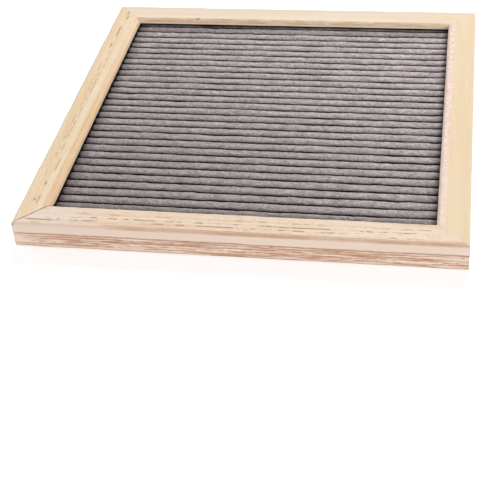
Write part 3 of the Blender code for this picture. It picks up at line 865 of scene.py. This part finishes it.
def uneven_face(local_y, z, ridge, centre):
    """The felt's outer face as a grid of points, along the grooves by across them."""
    x = np.linspace(-HALF_PANEL, HALF_PANEL, FELT_ROWS)
    grid_x, grid_y = np.meshgrid(x, local_y, indexing="ij")
    grid_z = np.broadcast_to(z, grid_x.shape)
    on_crown = np.clip((grid_z - SPRING) / CROWN_RISE, 0, 1)
    even_y = grid_y + centre
    number = np.broadcast_to(ridge * 1.0, grid_x.shape)
    width = 1 + SWELL * waves(61, 14, 2.0)(grid_x, number)
    lift = LIFT * waves(62, 18, 1.2)(grid_x, number)
    weave = WEAVES[0] * waves(63, 11, 9)(grid_x, even_y) + WEAVES[1] * waves(64, 3.0, 9)(grid_x, even_y)
    lumps = LUMPS[0] * waves(65, 2.4, 1.3)(grid_x, even_y) + LUMPS[1] * waves(66, 1.2, 0.8)(grid_x, even_y)
    y = centre + grid_y * width + weave
    top = np.minimum(grid_z + (lift + lumps) * on_crown, LIP_UNDERSIDE - LIP_CLEARANCE)
    # The outermost points keep to the panel's own edges
    at_edge = (np.abs(grid_x) > HALF_PANEL - 0.1) | (np.abs(y) > HALF_PANEL - 0.5)
    y = to_edges(np.where(at_edge, even_y, y))
    return np.stack((grid_x, y, top), -1)


def felt_faces(columns):
    """The faces of the dense outer grid, of the plain grid beneath, and of the edges that join the two."""
    start = FELT_ROWS * columns
    last = start - columns
    faces = grid_faces(FELT_ROWS, columns) + grid_faces(2, columns, start)
    for j in range(columns - 1):
        faces.append((j, j + 1, start + j + 1, start + j))
        faces.append((last + j, last + j + 1, start + columns + j + 1, start + columns + j))
    for j in (0, columns - 1):
        faces.append((*(i * columns + j for i in range(FELT_ROWS)), start + columns + j, start + j))
    return faces


def build_felt():
    """The felt: one sheet over the core's ribs and down into its slots, dense only where it shows."""
    outer_y, outer_z, inner_y, inner_z = ridge_section()
    per_ridge = len(outer_y)
    ridge = np.repeat(np.arange(RIDGES), per_ridge)
    centre = (ridge - (RIDGES - 1) / 2) * PITCH
    local_y, z = np.tile(outer_y, RIDGES), np.tile(outer_z, RIDGES)
    under_y, under_z = np.tile(inner_y, RIDGES), np.tile(inner_z, RIDGES)
    # The sheet's two long edges go straight down to its underside
    underside = GROOVE_FLOOR - FELT
    for edge, sign in ((0, -1), (-1, 1)):
        z[edge] = underside
        under_y[edge], under_z[edge] = sign * (HALF_RIDGE - FELT), underside
    outer = uneven_face(local_y, z, ridge, centre)
    columns = len(z)
    under = np.zeros((2, columns, 3))
    under[0, :, 0], under[1, :, 0] = -HALF_PANEL, HALF_PANEL
    under[:, :, 1] = to_edges(centre + under_y)
    under[:, :, 2] = under_z
    points = np.concatenate((outer.reshape(-1, 3), under.reshape(-1, 3)))
    obj = smooth(new_object("felt_cloth", points, felt_faces(columns)), 75)
    obj.data.materials.append(felt_material())
    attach(obj, "root")
    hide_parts("felt_sheet")
    path = np.stack((centre + local_y, z), 1)
    flat_length = np.linalg.norm(np.diff(path, axis=0), axis=1).sum()
    return obj, outer, per_ridge, flat_length


def fibre_lines(outer, per_ridge):
    """Four points along each loose fibre, laid at random on the felt's crowns, and the fibres' radii."""
    rng = np.random.default_rng(FIBRE_SEED)
    rows, columns = outer.shape[:2]
    angle = rng.uniform(0, 2 * math.pi, FIBRES)
    length = rng.uniform(*FIBRE_LENGTHS, FIBRES)
    bend = rng.normal(0, FIBRE_BEND, FIBRES)
    # None starts on the outermost ridges, near the grooves' ends or down on a ridge's flanks
    ridge = rng.integers(1, RIDGES - 1, FIBRES)
    row = rng.uniform(6, rows - 7, FIBRES)
    column = ridge * per_ridge + rng.uniform(3, per_ridge - 4, FIBRES)
    lift = rng.uniform(*FIBRE_LIFTS, FIBRES)
    radius = rng.uniform(*FIBRE_RADII, FIBRES)
    row_step = PANEL / (rows - 1)
    line = []
    for share in (0.0, 0.34, 0.68, 1.0):
        turn = angle + bend * share
        r = np.clip(row + np.cos(turn) * length * (share - 0.5) / row_step, 0, rows - 1.001)
        c = np.clip(column + np.sin(turn) * length * (share - 0.5) / COLUMN, 0, columns - 1.001)
        i, j = r.astype(int), c.astype(int)
        a, b = (r - i)[:, None], (c - j)[:, None]
        here = outer[i, j] * (1 - a) * (1 - b) + outer[i + 1, j] * a * (1 - b)
        here = here + outer[i, j + 1] * (1 - a) * b + outer[i + 1, j + 1] * a * b
        here[:, 2] += lift * (1.0 if 0 < share < 1 else 0.15)
        line.append(here)
    return np.stack(line, 1), radius


def build_nap(outer, per_ridge):
    """The loose fibres, each a thin closed strand that tapers to both ends."""
    line, radius = fibre_lines(outer, per_ridge)
    along = line[:, 3] - line[:, 0]
    along /= np.linalg.norm(along, axis=1, keepdims=True)
    side = np.cross(along, (0, 0, 1.0))
    side /= np.linalg.norm(side, axis=1, keepdims=True) + 1e-9
    up = np.cross(side, along)
    per_fibre = 2 + 2 * FIBRE_SIDES
    points = np.zeros((FIBRES, per_fibre, 3))
    points[:, 0], points[:, -1] = line[:, 0], line[:, 3]
    for ring in (0, 1):
        for corner in range(FIBRE_SIDES):
            a = 2 * math.pi * corner / FIBRE_SIDES
            spoke = radius[:, None] * (side * math.cos(a) + up * math.sin(a))
            points[:, 1 + FIBRE_SIDES * ring + corner] = line[:, 1 + ring] + spoke
    # The faces of a fibre with rings of three points: a fan to each end, and the sides between the rings
    strand = [(0, 2, 1), (0, 3, 2), (0, 1, 3), (7, 4, 5), (7, 5, 6), (7, 6, 4)]
    strand += [(1, 2, 5, 4), (2, 3, 6, 5), (3, 1, 4, 6)]
    faces = [tuple(per_fibre * n + k for k in face) for n in range(FIBRES) for face in strand]
    obj = smooth(new_object("felt_nap", points.reshape(-1, 3), faces), 80)
    obj.data.materials.append(nap_material())
    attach(obj, "root")
    return obj


def finish_nodes():
    """Puts the fine materials on the CAD pieces that keep their shape."""
    zinc = zinc_material()
    finishes = {"slotted_core": plastic_material(), "backing_board": hardboard_material()}
    for name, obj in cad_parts.items():
        if name.endswith("_rail") or name == "felt_sheet":
            continue
        obj.data.materials.clear()
        obj.data.materials.append(finishes.get(name, zinc))


def add_lamp(name, energy, location, size, colour):
    """A soft round lamp that faces the middle of the board."""
    light = bpy.data.lights.new(name, "AREA")
    light.energy = energy
    light.color = colour
    light.shape = "DISK"
    light.size = size
    obj = bpy.data.objects.new(name, light)
    bpy.context.scene.collection.objects.link(obj)
    obj.location = location
    obj.rotation_euler = (-Vector(location)).to_track_quat("-Z", "Y").to_euler()


def white_rays(nodes, links):
    """1 for rays that should see plain white: from the camera, in a gloss and through glass."""
    path = nodes.new("ShaderNodeLightPath")
    total = path.outputs["Is Camera Ray"]
    for name in ("Is Glossy Ray", "Is Transmission Ray"):
        node = nodes.new("ShaderNodeMath")
        node.operation = "MAXIMUM"
        links.new(total, node.inputs[0])
        links.new(path.outputs[name], node.inputs[1])
        total = node.outputs[0]
    return total


def build_world():
    """A world that is seen as plain white and lights the board with less."""
    world = bpy.data.worlds.new("studio")
    bpy.context.scene.world = world
    world.use_nodes = True
    nodes, links = world.node_tree.nodes, world.node_tree.links
    background = nodes["Background"]
    background.inputs["Color"].default_value = (1, 1, 1, 1)
    ease = nodes.new("ShaderNodeMapRange")
    links.new(white_rays(nodes, links), ease.inputs["Value"])
    ease.inputs["To Min"].default_value = WORLD_FILL
    ease.inputs["To Max"].default_value = WORLD_SEEN
    links.new(ease.outputs[0], background.inputs["Strength"])


def floor_material():
    """White that keeps a shadow near the board, and is seen as plain white further away."""
    white = bpy.data.materials.new("floor_white")
    white.use_nodes = True
    nodes, links = white.node_tree.nodes, white.node_tree.links
    shader = nodes["Principled BSDF"]
    shader.inputs["Base Color"].default_value = FLOOR_TONE
    shader.inputs["Roughness"].default_value = 0.9
    shader.inputs["Specular IOR Level"].default_value = 0.1
    shader.inputs["Emission Color"].default_value = (1, 1, 1, 1)
    place = nodes.new("ShaderNodeTexCoord")
    distance = nodes.new("ShaderNodeVectorMath")
    distance.operation = "LENGTH"
    links.new(place.outputs["Object"], distance.inputs[0])
    seen = nodes.new("ShaderNodeMapRange")
    levels = (*FLOOR_NEAR_AND_FAR, *FLOOR_SEEN)
    for key, value in zip(("From Min", "From Max", "To Min", "To Max"), levels):
        seen.inputs[key].default_value = value
    links.new(distance.outputs["Value"], seen.inputs["Value"])
    lift = nodes.new("ShaderNodeMapRange")
    lift.inputs["To Min"].default_value = FLOOR_FILL
    links.new(seen.outputs[0], lift.inputs["To Max"])
    links.new(white_rays(nodes, links), lift.inputs["Value"])
    links.new(lift.outputs[0], shader.inputs["Emission Strength"])
    return white


def build_studio():
    """A white floor that keeps the board's shadow, a white world and soft lamps."""
    bpy.context.scene.view_settings.view_transform = "Standard"
    build_world()
    bpy.ops.mesh.primitive_plane_add(size=FLOOR_SIZE, location=(0, 0, -FLOOR_DROP))
    floor = bpy.context.object
    floor.name = "studio_floor"
    floor.data.materials.append(floor_material())
    for lamp in LAMPS:
        add_lamp(*lamp)


def build_camera():
    """The photograph's camera, fitted to the board's edges in it."""
    camera = bpy.data.cameras.new("camera")
    camera.sensor_width = SENSOR_WIDTH
    camera.lens = FOCAL_LENGTH / IMAGE_WIDTH * SENSOR_WIDTH
    obj = bpy.data.objects.new("camera", camera)
    bpy.context.scene.collection.objects.link(obj)
    back = -Vector(CAMERA_AIM).normalized()
    right = Vector(CAMERA_UPWARD).cross(back).normalized()
    up = back.cross(right)
    turned = Matrix((right, up, back)).transposed().to_4x4()
    obj.matrix_world = Matrix.Translation(CAMERA_PLACE) @ turned
    bpy.context.scene.camera = obj


build_frame()
cloth, outer_face, ridge_points, flat_length = build_felt()
nap = build_nap(outer_face, ridge_points)
finish_nodes()
build_studio()
build_camera()
